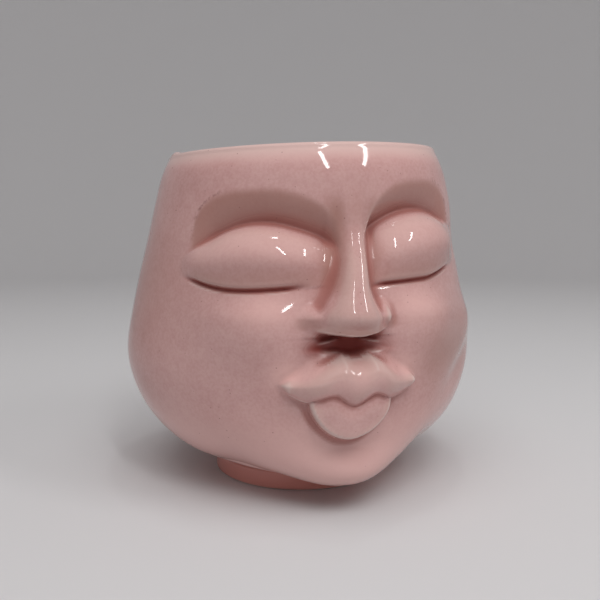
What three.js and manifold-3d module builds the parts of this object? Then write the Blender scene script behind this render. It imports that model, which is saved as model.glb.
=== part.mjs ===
import * as THREE from 'three';
import Module from 'manifold-3d';

// A face vase of glazed stoneware, in millimetres, +Z up. The face looks toward -Y, +X is on the viewer's
// right, and the origin is on the table under the middle of the whole vase. The pieces are the clay parts
// that a potter joins with slip: wall, floor and foot, and the lids, nose and lips laid on the face.

// Heights, stacked from the table up to the rim
const FOOT_HEIGHT = 6;
const CHIN = 19.8;
const LOWER_LIP = 9.9;
const UPPER_LIP = 15.1;
const PHILTRUM = 4.5;
const NOSE_LENGTH = 13;
const LID_HEIGHT = 21;
const BROW_BAND = 9.2;
const FOREHEAD = 12.5;

// Vessel: half sizes at the cheeks and at the rim, and the heights where it is fullest
const CHEEK_HALF_WIDTH = 60.7;
const CHEEK_HEIGHT = 44;
const FACE_DEPTH = 55.2;
const FACE_FULL_HEIGHT = 33;
const BACK_DEPTH = 58.7;
const RIM_HALF_WIDTH = 46.3;
const RIM_FRONT_DEPTH = 48.5;
const RIM_BACK_DEPTH = 46.3;

// Wall, rim, foot and floor
const WALL = 7;
const RIM_WALL = 5.6;
const RIM_ROUND = 2.6;
const RIM_LEAN_SIDE = 1.6;
const RIM_LEAN_BACK = 0.45;
const FOOT_RADIUS = 30.5;
const FOOT_WALL = 6.5;
const FOOT_CHAMFER = 1;
const FLOOR_THICKNESS = 5;
const FLOOR_SEAT = 2;
const JOINT = 0.3;

// Underside: the neck over the foot is short under the chin and taller under the jaw
const NECK_CHIN = 0.5;
const NECK_JAW = 3.9;
const JAW_TURN = 23.4;

// Chin knob, the fold above it and the hollows beside it. Sideways sizes run along the face on this radius
const FACE_RADIUS = 50;
const CHIN_SWELL = 4.4;
const CHIN_HALF_WIDTH = 13.3;
const CHIN_SHIFT = 2.5;
const CHIN_MIDDLE = 11.1;
const CHIN_REACH = 7;
const FOLD_DEPTH = 1.8;
const FOLD_HALF_WIDTH = 12;
const FOLD_BELOW_LIP = 3.2;
const FOLD_REACH = 2.8;
const JAW_HOLLOW = 4.5;
const JAW_OFFSET = 36.7;
const JAW_HALF_WIDTH = 14.5;
const JAW_MIDDLE = 14;
const JAW_REACH = 11;
const UNDERSIDE_BLEND = 2.5;

// Eyes: closed lids under carved brow hollows
const EYE_GAP = 1.3;
const EYE_HALF_LENGTH = 20.4;
const EYE_LEAN = 1.5;
const LASH_RISE = 3.9;
const LASH_DIP = 1;
const CREASE_ARCH = 7.8;
const BROW_OUTER_ARCH = 17.5;
const BROW_INNER_ARCH = 19.5;
const BROW_LEAST_BAND = 2;
const SOCKET_DEPTH = 5;
const LID_SWELL = 3;
const LID_EDGE = 0.5;

// Nose
const BRIDGE_HALF_WIDTH = 4.6;
const BRIDGE_BELOW_BROW = 2.5;
const NOSE_PROJECTION = 10.4;
const NOSE_HALF_WIDTH = 12.5;
const NOSE_ARCH = 5.2;
const TIP_ABOVE_BASE = 6;
const TIP_HALF_WIDTH = 8.8;
const TIP_BALL = 1.5;
const BALL_RADIUS = 5.2;
const WING_PROJECTION = 5;
const WING_OFFSET = 7.8;
const WING_HALF_WIDTH = 4.7;
const WING_ABOVE_BASE = 4.6;
const WING_REACH = 4.3;

// Lips
const MOUTH_HALF_WIDTH = 17.6;
const LIP_PROJECTION = 9;
const CORNER_PROJECTION = 4.4;
const PEAK_OFFSET = 3.7;
const PEAK_DIP = 1.8;
const LIP_SLOPE = 8;
const BOW_OFFSET = 5.2;
const BOW_RISE = 2.8;
const BOW_SAG = 1.9;
const CORNER_RISE = 6.2;
const LEAST_LIP = 1.4;
const LOWER_LIP_HALF_WIDTH = 10.1;
const LOWER_LIP_PROJECTION = 6.6;
const LIP_PARTING = 0.6;

// Least edge of a piece laid on the wall, and how far its body reaches in before the wall cuts it back
const SPRIG_EDGE = 0.8;
const SPRIG_ROOT = 2;

// Levels that follow from the stack of heights
const MOUTH_LEVEL = FOOT_HEIGHT + CHIN + LOWER_LIP;
const NOSE_LEVEL = MOUTH_LEVEL + UPPER_LIP + PHILTRUM;
const LASH_LEVEL = NOSE_LEVEL + NOSE_LENGTH;
const CREASE_LEVEL = LASH_LEVEL + LID_HEIGHT;
const BROW_LEVEL = CREASE_LEVEL + BROW_BAND;
const RIM_LEVEL = BROW_LEVEL + FOREHEAD;
const WALL_BOTTOM = FOOT_HEIGHT + JOINT;
const FLOOR_TOP = WALL_BOTTOM + FLOOR_THICKNESS;
const FLOOR_RADIUS = FOOT_RADIUS - FOOT_WALL + FLOOR_SEAT;
const BORE_RADIUS = FLOOR_RADIUS + JOINT;
const EYE_MIDDLE = BRIDGE_HALF_WIDTH + EYE_GAP + EYE_HALF_LENGTH;

// Facets
const COLUMNS = 64;
const COLUMN_CROWDING = 0.35;
const LOWER_ROWS = 9;
const UPPER_ROWS = 19;
const RIM_ROWS = 3;
const INNER_ROWS = 10;
const ROUND_SIDES = 48;
const LID_FACETS = { across: 22, upward: 11 };
const NOSE_FACETS = { across: 16, upward: 18 };
const UPPER_LIP_FACETS = { across: 32, upward: 8 };
const LOWER_LIP_FACETS = { across: 20, upward: 8 };

// Small functions that the surfaces share
const { abs, min, max, sin, cos, sqrt, exp, hypot, PI } = Math;
const mix = (a, b, share) => a + (b - a) * share;
const limit = (x, low, high) => min(max(x, low), high);
const ease = (x, from, to) => {
  const share = limit((x - from) / (to - from), 0, 1);
  return share * share * (3 - 2 * share);
};
const bump = (x, power = 2) => exp(-(abs(x) ** power));

// Height of the vessel's underside where it leaves the foot, lowest under the chin
function undersideLevel(phi) {
  return FOOT_HEIGHT + mix(NECK_CHIN, NECK_JAW, ease(abs(phi) * FACE_RADIUS, 0, JAW_TURN));
}

// The three profiles: a rounded tuck from the foot to the fullest level, then a soft taper to the rim
const SIDE = { full: CHEEK_HALF_WIDTH, level: CHEEK_HEIGHT, rim: RIM_HALF_WIDTH, soft: 0.12, tuck: 1.83 };
const FRONT = { full: FACE_DEPTH, level: FACE_FULL_HEIGHT, rim: RIM_FRONT_DEPTH, soft: 0.45, tuck: 3.25 };
const BACK = { full: BACK_DEPTH, level: CHEEK_HEIGHT, rim: RIM_BACK_DEPTH, soft: 0.12, tuck: 2.1 };

// Half size of a profile at height z
function halfSize(z, low, foot, { full, level, rim, soft, tuck }, inset, rimInset) {
  if (z > level) {
    const rise = (z - level) / (RIM_LEVEL - level);
    const taper = (hypot(rise, soft) - soft) / (hypot(1, soft) - soft);
    return mix(full - inset, rim - rimInset, taper);
  }
  const fall = limit((level - z) / (level - low), 0, 1);
  return mix(foot, full - inset, (1 - fall ** tuck) ** (1 / tuck));
}

// Radius of the plain vessel, a rounded oval at each height. Its inner skin has its own low level and foot
function vesselRadius(phi, z, low = undersideLevel(phi), foot = FOOT_RADIUS, inset = 0, rimInset = 0) {
  const inFront = cos(phi) > 0;
  const side = halfSize(z, low, foot, SIDE, inset, rimInset);
  const depth = halfSize(z, low, foot, inFront ? FRONT : BACK, inset, rimInset);
  const power = inFront ? 1.92 : 2.3;
  return (abs(sin(phi) / side) ** power + abs(cos(phi) / depth) ** power) ** (-1 / power);
}

// Swelling of the chin, the fold under the lower lip and the hollows of the jaw
function chinHeight(phi, z) {
  const s = phi * FACE_RADIUS;
  const knob = CHIN_SWELL * bump((s - CHIN_SHIFT) / CHIN_HALF_WIDTH) * bump((z - CHIN_MIDDLE) / CHIN_REACH);
  const foldLevel = FOOT_HEIGHT + CHIN - FOLD_BELOW_LIP;
  const fold = FOLD_DEPTH * bump(s / FOLD_HALF_WIDTH) * bump((z - foldLevel) / FOLD_REACH);
  const jawAcross = bump((abs(s) - JAW_OFFSET) / JAW_HALF_WIDTH);
  const jaw = JAW_HOLLOW * jawAcross * bump((z - JAW_MIDDLE) / JAW_REACH);
  return (knob - fold - jaw) * ease(z - undersideLevel(phi), 0, UNDERSIDE_BLEND);
}

// The lines of an eye at u, which runs from -1 at the nose to 1 at the temple
function eyeLines(u) {
  const outward = max(u, 0);
  const inward = max(-u, 0);
  const lash = LASH_LEVEL + LASH_RISE * outward ** 2.1 + LASH_DIP * inward ** 2;
  const crease = CREASE_LEVEL - CREASE_ARCH * u * u;
  const outerFall = BROW_OUTER_ARCH * (1 - (1 - min(outward, 1) ** 5) ** (1 / 5));
  const innerFall = BROW_INNER_ARCH * (1 - (1 - min(inward / 1.08, 1) ** 2.2) ** (1 / 2.2));
  const brow = max(BROW_LEVEL - outerFall - innerFall, crease + BROW_LEAST_BAND);
  const ends = (1 - ease(u, 0.6, 1.05)) * (1 - ease(inward, 0.86, 1.1));
  const depth = SOCKET_DEPTH * ends * (1 - 0.35 * ease(u, -0.4, 0.8));
  const swell = (1 - ease(u, 0.55, 1.1)) * (1 - ease(inward, 0.55, 1.06));
  return { lash, crease, brow, depth, swell };
}

const eyeShare = (phi) => (abs(phi) * FACE_RADIUS - EYE_MIDDLE) / EYE_HALF_LENGTH;
const eyeLevel = (phi, z) => z - EYE_LEAN * sin(phi);

// The carved hollow: it deepens from the brow to the lid's crease, and comes out again under the lid
function socketHeight(phi, z) {
  const { lash, crease, brow, depth } = eyeLines(eyeShare(phi));
  const level = eyeLevel(phi, z);
  if (level > crease) {
    const share = limit((brow - level) / (brow - crease), 0, 1);
    return -depth * (0.6 * ease(share, 0, 0.45) + 0.4 * ease(share, 0.2, 1));
  }
  return -depth * (1 - ease(crease - level, 0, crease - lash));
}

// The closed lid: it rises round from the crease and rolls under to the lash line
function lidHeight(phi, z) {
  const { lash, crease, depth, swell } = eyeLines(eyeShare(phi));
  const share = limit((crease - eyeLevel(phi, z)) / (crease - lash), 0, 1);
  const crown = 0.45;
  if (share < crown) {
    return -depth + (depth + LID_SWELL * swell) * sqrt(1 - (1 - share / crown) ** 2);
  }
  return swell * mix(LID_SWELL, LID_EDGE, ((share - crown) / (1 - crown)) ** 1.9);
}

// The nose: a ridge that grows and widens down to the tip, with a wing on each side
function noseHeight(phi, z) {
  const t = abs(phi) * FACE_RADIUS;
  const top = BROW_LEVEL - BRIDGE_BELOW_BROW;
  const tip = NOSE_LEVEL + TIP_ABOVE_BASE;
  const down = limit((top - z) / (top - tip), 0, 1);
  const turnedUnder = 1 - 0.28 * ease(tip - z, 0, TIP_ABOVE_BASE);
  const halfWidth = mix(BRIDGE_HALF_WIDTH, TIP_HALF_WIDTH, down ** 3.5);
  const ridge = NOSE_PROJECTION * down ** 1.6 * turnedUnder * bump(t / halfWidth, 2.6);
  const ball = TIP_BALL * bump(t / BALL_RADIUS) * bump((z - tip) / BALL_RADIUS);
  const wingLevel = NOSE_LEVEL + WING_ABOVE_BASE;
  const wingAcross = bump((t - WING_OFFSET) / WING_HALF_WIDTH, 4);
  const wing = WING_PROJECTION * wingAcross * bump((z - wingLevel) / WING_REACH, 4);
  return ((ridge + ball) ** 3 + wing ** 3) ** (1 / 3);
}

// The bow-shaped line between the lips, and the upper lip's top edge, at a distance t from the middle
function mouthLine(t) {
  const bow = BOW_RISE * ease(t, 0, BOW_OFFSET) - BOW_SAG * ease(t, BOW_OFFSET, LOWER_LIP_HALF_WIDTH);
  return MOUTH_LEVEL + bow + CORNER_RISE * ease(t, LOWER_LIP_HALF_WIDTH, 1.08 * MOUTH_HALF_WIDTH);
}

function upperLipTop(t) {
  const peak = MOUTH_LEVEL + UPPER_LIP;
  const slope = LIP_SLOPE * max(t - PEAK_OFFSET, 0) / (MOUTH_HALF_WIDTH - PEAK_OFFSET);
  const dip = PEAK_DIP * (1 - ease(t, 0, PEAK_OFFSET));
  return max(peak - slope - dip, mouthLine(t) + LEAST_LIP);
}

// The upper lip: pouting in the middle, drawn out to a small blunt wing at each corner
function upperLipHeight(phi, z) {
  const t = abs(phi) * FACE_RADIUS;
  const top = upperLipTop(t);
  const share = (top - z) / (top - mouthLine(t));
  const middle = ease(share, -0.25, 0.8) * (1 - 0.25 * ease(share, 0.75, 1));
  const corner = ease(share, -0.45, 0.4) * (1 - 0.12 * ease(share, 0.7, 1));
  const toCorner = ease(t, 0.45 * MOUTH_HALF_WIDTH, 0.8 * MOUTH_HALF_WIDTH);
  const blunt = sqrt(1 - limit((t / MOUTH_HALF_WIDTH - 0.8) / 0.24, 0, 1) ** 2);
  return mix(LIP_PROJECTION, CORNER_PROJECTION, toCorner) * mix(middle, corner, toCorner) * blunt;
}

// The lower lip's bottom edge is half an oval, and its face is a shallow dome
function lowerLipBottom(t) {
  return MOUTH_LEVEL - LOWER_LIP * (1 - min(t / LOWER_LIP_HALF_WIDTH, 1) ** 2.1) ** (1 / 2.1);
}

function lowerLipHeight(phi, z) {
  const t = abs(phi) * FACE_RADIUS;
  const out = hypot(t / LOWER_LIP_HALF_WIDTH, max(MOUTH_LEVEL - z, 0) / LOWER_LIP);
  return LOWER_LIP_PROJECTION * (1 - 0.14 * out * out);
}

// Outer radius of the wall alone, and a point at a given angle, radius and height under the leaning rim
const wallRadius = (phi, z) => vesselRadius(phi, z) + socketHeight(phi, z) + chinHeight(phi, z);

function placed(phi, radius, z) {
  const share = limit((z - WALL_BOTTOM) / (RIM_LEVEL - WALL_BOTTOM), 0, 1);
  const lean = (RIM_LEAN_SIDE * sin(phi) - RIM_LEAN_BACK * cos(phi)) * share ** 3;
  return [radius * sin(phi), -radius * cos(phi), z + lean];
}

// Columns stand closer together on the face than on the back
const columnAngles = Array.from({ length: COLUMNS }, (_, k) => {
  const turn = -PI + (2 * PI * k) / COLUMNS;
  return turn - COLUMN_CROWDING * sin(turn);
});

const ring = (radiusAt, levelAt) => columnAngles.map((phi) => placed(phi, radiusAt(phi), levelAt(phi)));

// Rings of the wall's outer skin, from the neck to the start of the rounded rim
function outerRings(gap = 0) {
  const rimStart = RIM_LEVEL - RIM_ROUND;
  const rings = [ring(() => FOOT_RADIUS + gap, () => WALL_BOTTOM)];
  for (let k = 0; k < LOWER_ROWS; k += 1) {
    const share = 1 - cos((PI / 2) * (k / LOWER_ROWS));
    const level = (phi) => mix(undersideLevel(phi), CHEEK_HEIGHT, share);
    rings.push(ring((phi) => wallRadius(phi, level(phi)) + gap, level));
  }
  for (let k = 0; k <= UPPER_ROWS; k += 1) {
    const level = mix(CHEEK_HEIGHT, rimStart, k / UPPER_ROWS);
    rings.push(ring((phi) => wallRadius(phi, level) + gap, () => level));
  }
  return rings;
}

// Rings of the rounded rim, over the top and down to the start of the inner skin
function rimRings() {
  const rimStart = RIM_LEVEL - RIM_ROUND;
  const inner = (phi) => innerRadius(phi, rimStart);
  const rings = [];
  for (let k = 1; k <= RIM_ROWS; k += 1) {
    const turn = (PI / 2) * (k / RIM_ROWS);
    const level = rimStart + RIM_ROUND * sin(turn);
    rings.push(ring((phi) => wallRadius(phi, rimStart) - RIM_ROUND * (1 - cos(turn)), () => level));
  }
  for (let k = RIM_ROWS; k >= 1; k -= 1) {
    const turn = (PI / 2) * (k / RIM_ROWS);
    const level = rimStart + RIM_ROUND * sin(turn);
    rings.push(ring((phi) => inner(phi) + RIM_ROUND * (1 - cos(turn)), () => level));
  }
  return rings;
}

// The inner skin keeps clear of the carved sockets by bulging inward behind them
const innerLow = (phi) => FLOOR_TOP + undersideLevel(phi) - undersideLevel(0);
const innerRadius = (phi, z) =>
  vesselRadius(phi, z, innerLow(phi), BORE_RADIUS, WALL, RIM_WALL) + 0.7 * socketHeight(phi, z);

function innerRings() {
  const rings = [];
  for (let k = INNER_ROWS; k >= 0; k -= 1) {
    const share = 1 - cos((PI / 2) * (k / INNER_ROWS));
    const level = (phi) => mix(innerLow(phi), RIM_LEVEL - RIM_ROUND, share);
    rings.push(ring((phi) => innerRadius(phi, level(phi)), level));
  }
  rings.push(ring(() => BORE_RADIUS, () => WALL_BOTTOM));
  return rings;
}

// Triangles of a net of points: rows by columns, with either way closed on itself if asked
function netFaces(rows, columns, closeRows, closeColumns, at) {
  const faces = [];
  for (let i = 0; i < rows - (closeRows ? 0 : 1); i += 1) {
    for (let j = 0; j < columns - (closeColumns ? 0 : 1); j += 1) {
      const a = at(i, j);
      const b = at(i, (j + 1) % columns);
      const c = at((i + 1) % rows, (j + 1) % columns);
      const d = at((i + 1) % rows, j);
      faces.push(a, b, c, a, c, d);
    }
  }
  return faces;
}

function geometryOf(points, faces) {
  const geometry = new THREE.BufferGeometry();
  geometry.setAttribute('position', new THREE.Float32BufferAttribute(points.flat(), 3));
  geometry.setIndex(faces);
  geometry.computeVertexNormals();
  return geometry;
}

// Solids for cutting
const wasm = await Module();
wasm.setup();

function solidOf(points, faces) {
  const vertProperties = new Float32Array(points.flat());
  const triVerts = new Uint32Array(faces);
  return new wasm.Manifold(new wasm.Mesh({ numProp: 3, vertProperties, triVerts }));
}

function geometryOfSolid(solid) {
  const { vertProperties, triVerts, numProp } = solid.getMesh();
  const points = [];
  for (let k = 0; k < vertProperties.length; k += numProp) {
    points.push([vertProperties[k], vertProperties[k + 1], vertProperties[k + 2]]);
  }
  return geometryOf(points, Array.from(triVerts));
}

// The wall as a filled block, larger by the slip joint, that cuts the back of each piece laid on it
function wallBlock() {
  const rings = outerRings(JOINT);
  const points = rings.flat();
  const faces = netFaces(rings.length, COLUMNS, false, true, (i, j) => i * COLUMNS + j);
  const bottom = points.push([0, 0, WALL_BOTTOM]) - 1;
  const top = points.push([0, 0, RIM_LEVEL - RIM_ROUND]) - 1;
  const lastRow = (rings.length - 1) * COLUMNS;
  for (let j = 0; j < COLUMNS; j += 1) {
    const next = (j + 1) % COLUMNS;
    faces.push(bottom, next, j, top, lastRow + j, lastRow + next);
  }
  return solidOf(points, faces);
}

const cutter = wallBlock();

// A piece laid on the wall: its face over an outline, carried into the wall and then cut back to the joint.
// The outline takes a from -1 to 1 across and b from 0 to 1 upward, and gives the angle and the height
function sprig({ across, upward }, outline, height) {
  const face = [];
  const root = [];
  for (let i = 0; i <= upward; i += 1) {
    for (let j = 0; j <= across; j += 1) {
      const [phi, z] = outline((2 * j) / across - 1, i / upward);
      const wall = wallRadius(phi, z);
      const raised = vesselRadius(phi, z) + chinHeight(phi, z) + height(phi, z);
      face.push(placed(phi, max(raised, wall + JOINT + SPRIG_EDGE), z));
      root.push(placed(phi, wall - SPRIG_ROOT, z));
    }
  }
  const columns = across + 1;
  const front = (i, j) => i * columns + j;
  const back = (i, j) => face.length + front(i, j);
  const faces = netFaces(upward + 1, columns, false, false, front);
  faces.push(...netFaces(upward + 1, columns, false, false, (i, j) => back(i, across - j)));
  const quad = (a, b, c, d) => faces.push(a, b, c, a, c, d);
  for (let j = 0; j < across; j += 1) {
    quad(back(0, j), back(0, j + 1), front(0, j + 1), front(0, j));
    quad(front(upward, j), front(upward, j + 1), back(upward, j + 1), back(upward, j));
  }
  for (let i = 0; i < upward; i += 1) {
    quad(front(i, 0), front(i + 1, 0), back(i + 1, 0), back(i, 0));
    quad(front(i, across), back(i, across), back(i + 1, across), front(i + 1, across));
  }
  return geometryOfSolid(solidOf([...face, ...root], faces).subtract(cutter));
}

// The clay pieces
function bodyWall() {
  const rings = [...outerRings(), ...rimRings(), ...innerRings()];
  return geometryOf(rings.flat(), netFaces(rings.length, COLUMNS, true, true, (i, j) => i * COLUMNS + j));
}

// A turned piece from a profile of radius and height
function turned(profile) {
  const outline = profile.map(([radius, z]) => new THREE.Vector2(radius, z));
  return new THREE.LatheGeometry(outline, ROUND_SIDES).rotateX(PI / 2);
}

function floorSlab() {
  return turned([[0, WALL_BOTTOM], [FLOOR_RADIUS, WALL_BOTTOM], [FLOOR_RADIUS, FLOOR_TOP], [0, FLOOR_TOP]]);
}

function footRing() {
  const bore = FOOT_RADIUS - FOOT_WALL;
  return turned([
    [bore + FOOT_CHAMFER, 0],
    [FOOT_RADIUS - FOOT_CHAMFER, 0],
    [FOOT_RADIUS, FOOT_CHAMFER],
    [FOOT_RADIUS, FOOT_HEIGHT],
    [bore, FOOT_HEIGHT],
    [bore, FOOT_CHAMFER],
    [bore + FOOT_CHAMFER, 0],
  ]);
}

// A lid on the side given by 1 or -1, with its ends drawn in a little
function eyelid(side) {
  const outline = (a, b) => {
    const u = 0.97 * a * side;
    const phi = (side * (EYE_MIDDLE + EYE_HALF_LENGTH * u)) / FACE_RADIUS;
    const { lash, crease } = eyeLines(u);
    const level = mix(lash, crease, 0.5 + (b - 0.5) * (1 - 0.4 * abs(a) ** 8));
    return [phi, level + EYE_LEAN * sin(phi)];
  };
  return sprig(LID_FACETS, outline, lidHeight);
}

function nose() {
  const outline = (a, b) => {
    const flare = 1 - ease(b * (CREASE_LEVEL - NOSE_LEVEL), 0.3 * NOSE_LENGTH, 0.9 * NOSE_LENGTH);
    const t = a * mix(BRIDGE_HALF_WIDTH, NOSE_HALF_WIDTH, flare) * (1 - 0.5 * ease(b, 0.7, 1));
    const base = NOSE_LEVEL + NOSE_ARCH * (t / NOSE_HALF_WIDTH) ** 2;
    return [t / FACE_RADIUS, mix(base, CREASE_LEVEL, b)];
  };
  return sprig(NOSE_FACETS, outline, noseHeight);
}

function upperLip() {
  const outline = (a, b) => {
    const t = abs(a) * MOUTH_HALF_WIDTH;
    return [(a * MOUTH_HALF_WIDTH) / FACE_RADIUS, mix(mouthLine(t) + LIP_PARTING / 2, upperLipTop(t), b)];
  };
  return sprig(UPPER_LIP_FACETS, outline, upperLipHeight);
}

function lowerLip() {
  const outline = (a, b) => {
    const t = 0.95 * abs(a) * LOWER_LIP_HALF_WIDTH;
    const phi = (0.95 * a * LOWER_LIP_HALF_WIDTH) / FACE_RADIUS;
    return [phi, mix(lowerLipBottom(t), mouthLine(t) - LIP_PARTING / 2, b)];
  };
  return sprig(LOWER_LIP_FACETS, outline, lowerLipHeight);
}

// Assembly
const pinkGlaze = { color: '#be9693', roughness: 0.18, metalness: 0 };

function piece(name, geometry) {
  const mesh = new THREE.Mesh(geometry, new THREE.MeshStandardMaterial(pinkGlaze));
  mesh.name = name;
  return mesh;
}

const pieces = new THREE.Group();
pieces.add(
  piece('body_wall', bodyWall()),
  piece('floor_slab', floorSlab()),
  piece('foot_ring', footRing()),
  piece('left_eyelid', eyelid(-1)),
  piece('right_eyelid', eyelid(1)),
  piece('nose', nose()),
  piece('upper_lip', upperLip()),
  piece('lower_lip', lowerLip()),
);

// The vase stands on the table, centred on the origin
const box = new THREE.Box3().setFromObject(pieces);
const middle = box.getCenter(new THREE.Vector3());
pieces.position.set(-middle.x, -middle.y, -box.min.z);

const vase = new THREE.Group();
vase.add(pieces);

export default vase;
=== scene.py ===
import math
from collections import namedtuple

import bpy
import numpy as np
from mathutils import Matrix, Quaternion, Vector


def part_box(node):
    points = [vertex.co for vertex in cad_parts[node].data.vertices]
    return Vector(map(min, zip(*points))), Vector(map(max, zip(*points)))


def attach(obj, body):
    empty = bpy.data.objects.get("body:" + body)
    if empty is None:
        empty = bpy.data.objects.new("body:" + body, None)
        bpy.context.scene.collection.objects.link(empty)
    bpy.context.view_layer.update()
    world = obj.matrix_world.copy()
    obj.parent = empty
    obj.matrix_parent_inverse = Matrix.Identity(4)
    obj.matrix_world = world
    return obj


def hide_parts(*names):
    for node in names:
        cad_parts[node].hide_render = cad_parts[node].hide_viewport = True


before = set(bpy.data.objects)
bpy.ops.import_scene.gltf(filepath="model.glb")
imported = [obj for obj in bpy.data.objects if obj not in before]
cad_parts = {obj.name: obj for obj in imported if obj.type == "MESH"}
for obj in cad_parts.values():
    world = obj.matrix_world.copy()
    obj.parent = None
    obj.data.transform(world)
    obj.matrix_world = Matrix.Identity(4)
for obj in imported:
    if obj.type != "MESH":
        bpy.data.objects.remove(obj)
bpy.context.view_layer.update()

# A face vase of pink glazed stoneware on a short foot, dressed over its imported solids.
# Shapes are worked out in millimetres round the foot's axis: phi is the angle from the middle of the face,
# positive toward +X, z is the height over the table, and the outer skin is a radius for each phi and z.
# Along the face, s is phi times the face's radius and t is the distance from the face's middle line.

MM = 0.001


def node_box(name):
    """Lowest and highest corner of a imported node, in millimetres."""
    return [np.array(corner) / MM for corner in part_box(name)]


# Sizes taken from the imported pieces
FOOT_LOW, FOOT_HIGH = node_box("foot_ring")
FOOT_CENTRE = (FOOT_LOW + FOOT_HIGH) / 2
FOOT_RADIUS = (FOOT_HIGH[0] - FOOT_LOW[0]) / 2
FLOOR_LOW, FLOOR_HIGH = node_box("floor_slab")
FLOOR_TOP = FLOOR_HIGH[2]
WALL_BOTTOM = FLOOR_LOW[2]
BORE_RADIUS = (FLOOR_HIGH[0] - FLOOR_LOW[0]) / 2

# Levels of the face
MOUTH = 35.7
LIP_TOP = 50.1
CHEEK = 59.0
NOSE_BASE = 55.3
TIP = NOSE_BASE + 6.0
LASH = 68.8
BRIDGE = 88.0
CREASE = 89.3
BROW = 99.1
RIM = 111.0

# Vessel: fullest half size and its level, half size at the rim, softness of the taper, roundness of the tuck
SIDE = dict(full=60.6, level=44.0, rim=46.3, soft=0.12, tuck=1.83)
FRONT = dict(full=55.2, level=33.0, rim=48.5, soft=0.45, tuck=3.25)
BACK = dict(full=58.6, level=44.0, rim=46.3, soft=0.12, tuck=2.1)
OVAL_FRONT = 1.92
OVAL_BACK = 2.3
RIGHT_TEMPLE = 2.2
TEMPLE_START = 78.0
TEMPLE_FULL = 95.0
WALL = 7.0
RIM_WALL = 5.6
RIM_ROUND = 1.5
ROLL_START = 100.0
ROLL_FRONT = 3.0
ROLL_BACK = 0.8
RIM_LEAN_SIDE = 1.59
RIM_LEAN_BACK = 0.45
RIM_BEAD = 0.7
NECK_CHIN = 0.5
NECK_JAW = 2.8
JAW_TURN = 23.4
FACE_RADIUS = 50.0
FACE_END = 62.0
FACE_FADE = 10.0

# Middle line: its shift to the right over the lip, and shares of that under the mouth, on the nose and above
MIDDLE_SHIFT = 1.8
MIDDLE_REACH = 11.0
SHIFT_UNDER_MOUTH = -0.4
SHIFT_OFF_ON_NOSE = 0.7
SHIFT_ADDED_AT_BRIDGE = 1.2

# Eyes, with places along the eye where an end starts and is full, and pairs for the left and the right eye
EYE_MIDDLE = 26.3
EYE_HALF_LENGTH = 20.4
EYE_REACH = 1.12
EYE_LEAN = 2.2
LASH_RISE = 3.9
LASH_POWERS = (2.1, 1.4)
LASH_INNER_RISES = (1.0, -0.5)
LASH_DEPTH = 1.6
LASH_OUTER_END = (0.76, 1.1)
LASH_INNER_END = (0.42, 0.8)
RIGHT_LASH_NEARER = 0.24
CREASE_LEAN = 1.1
CREASE_DROPS = (7.8, 5.8)
CREASE_SOFT = 0.08
BROW_OUTER = dict(fall=17.5, reach=1.0, power=3.2)
BROW_INNER = dict(fall=19.5, reach=1.08, power=2.4)
BROW_OVER_CREASE = 2.0
SOCKET_DEPTH = 4.6
SOCKET_OUTER_END = (0.6, 1.05)
SOCKET_INNER_END = (0.86, 1.1)
SOCKET_SHALLOWING = (-0.4, 0.8)
SOCKET_SHALLOWER = 0.35
HOLLOW_PARABOLA = 0.7
LID_DRAWN_UP = 0.54
LID_CLIMB = 0.6
LID_SWELL = 4.6
LID_EDGE = 0.9
LID_EDGE_ROUND = 0.6

# Half lengths of the lid toward the nose and the temple, and reaches under and over the lash line of its
# cut and of its colour
LID_HALF_LENGTHS = (1.08, 1.15)
LASH_CUT_REACHES = (0.45, 0.9)
LASH_COLOUR_REACHES = (0.3, 0.9)

# Nose: for each wing its height, its reach over the tip's level, where its end starts and how long that is
NOSE_SLOPE = 0.4
NOSE_HALF_WIDTH = 12.5
NOSE_EDGE_RISE = 2.9
RIDGE_HALF_WIDTH = 4.0
RIDGE_WIDENING = 4.6
RIDGE_FLATNESS = 3.4
TIP_SOFT = 2.0
BRIDGE_SOFT = 8.0
BALL_HEIGHT = 1.0
WING_LEFT = dict(height=2.8, above=5.4, length=8.6, end=5.8, groove=0.3)
WING_RIGHT = dict(height=4.2, above=6.4, length=9.4, end=3.6, groove=0.6)
WING_THINNED = 0.7
GROOVE_OUT = 7.6
TURNED_UNDER = 0.42
NOSTRIL_OUT = 5.5
NOSTRIL_DEPTH = 2.4
SILL_OUT = 6.0
SILL_HEIGHT = 0.9
SILL_DROP = 0.2
RECESS_HALF_WIDTH = 9.0
RECESS_DEPTH = 3.0
VALLEY_OUT = 8.5
VALLEY_DEPTH = 0.8
ROOT_DEPTH = 2.8

# Mouth line: places out from the middle line, and how far it goes up or down to each
BOW_OUT = 5.2
BOW_RISE = 2.6
CORNER_OUT = 10.2
CORNER_DROP = 1.7
WING_START = 10.6
WING_OUT = 20.0
WING_RISE = 4.0

# Lips, with shares of the way down the upper one
LIP_BOW = 1.1
LIP_BOW_REACH = 3.0
LIP_PEAK_OUT = 3.7
LIP_FALL = 8.0
LIP_FALL_LENGTH = 13.9
UPPER_LIP_SWELL = 9.0
SWELL_LESS_AT_PEAK = 0.8
SWELL_LESS_AT_WING = 4.0
ROUND_TOP = 0.36
ROLLED_UNDER = 0.42
LIP_END = (15.0, 18.9)
RIGHT_WING_LONGER = 1.6
LOWER_LIP_SWELL = 6.6
LOWER_LIP_DOMED = 0.2
LOWER_LIP_RIM = 0.2
LOWER_LIP_HALF_WIDTH = 10.1
LOWER_LIP_HEIGHT = 11.4
LOWER_LIP_POWER = 1.75
PARTING_MIDDLE = 4.6
PARTING_CORNER = 3.6

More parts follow.
